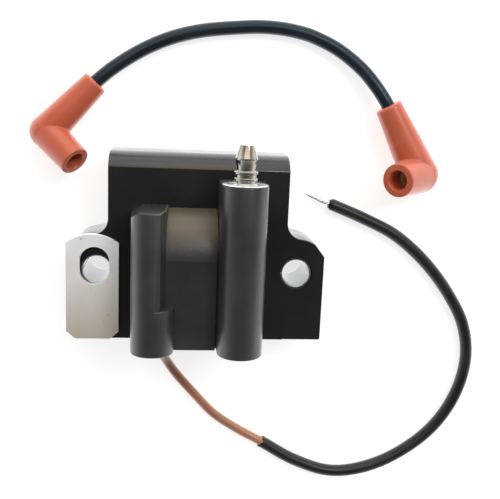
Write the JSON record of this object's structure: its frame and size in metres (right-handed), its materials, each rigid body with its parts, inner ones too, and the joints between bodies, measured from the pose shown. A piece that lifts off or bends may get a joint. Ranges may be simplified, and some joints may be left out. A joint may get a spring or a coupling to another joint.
{
  "type": "ignition coil",
  "caption": "Black moulded ignition coil with a screw-down flange, a raised high tension tower, a primary lead and a loose spark plug lead with rubber elbow boots.",
  "frame": {"origin": "midway between the two mounting holes, on the mounting face at the back", "axes": "+X from the grounded ear to the plain ear, +Y towards the high tension terminal, +Z out of the front, away from the engine"},
  "size_m": [0.1461, 0.151, 0.0381],
  "materials": {
    "case": "satin",
    "potting": "satin",
    "core": "brushed",
    "bobbin": "satin",
    "copper_wire": "polished",
    "insulation_film": "polished",
    "terminal_metal": "polished",
    "sealant": "polished",
    "bush_steel": "brushed",
    "plate_steel": "satin",
    "grommet": "matte",
    "lead_orange": "polished",
    "sleeve": "satin",
    "tinned_strands": "satin",
    "cable_jacket": "satin",
    "cable_core": "satin",
    "boot_rubber": "satin",
    "spring_metal": "polished"
  },
  "bodies": {
    "coil": {"case": "case", "potting": "potting", "core_laminations": "core", "primary_bobbin": "bobbin", "primary_winding": "copper_wire", "winding_insulation": "insulation_film", "secondary_bobbin": "bobbin", "secondary_winding": "copper_wire", "high_tension_link": "tinned_strands", "high_tension_terminal": "terminal_metal", "tower_sealant": "sealant", "mounting_bush_left": "bush_steel", "mounting_bush_right": "bush_steel", "primary_posts": "spring_metal", "ground_wire": "copper_wire", "ground_plate": "plate_steel", "lead_grommet": "grommet", "lead_conductor": "tinned_strands", "lead_insulation": "lead_orange", "lead_sleeve": "sleeve"},
    "plug_lead": {"plug_cable_jacket": "cable_jacket", "plug_cable_core": "cable_core"},
    "coil_end": {"coil_end_boot": "boot_rubber", "coil_end_spring": "spring_metal"},
    "plug_end": {"plug_end_boot": "boot_rubber", "plug_end_spring": "spring_metal"}
  },
  "joints": [
    {"name": "plug_lead_lift", "type": "slide", "parent": "coil", "child": "plug_lead", "axis": [0, 0, 1], "range_m": [0, 0.06]},
    {"name": "coil_boot_turn", "type": "hinge", "parent": "plug_lead", "child": "coil_end", "pos_m": [-0.04612, 0.03945, 0.0052], "axis": [0.6897, 0.7241, 0], "range_deg": [-148, 28]},
    {"name": "plug_boot_turn", "type": "hinge", "parent": "plug_lead", "child": "plug_end", "pos_m": [0.06979, 0.03018, 0.006], "axis": [-0.4893, 0.8721, 0], "range_deg": [-45, 130]}
  ]
}
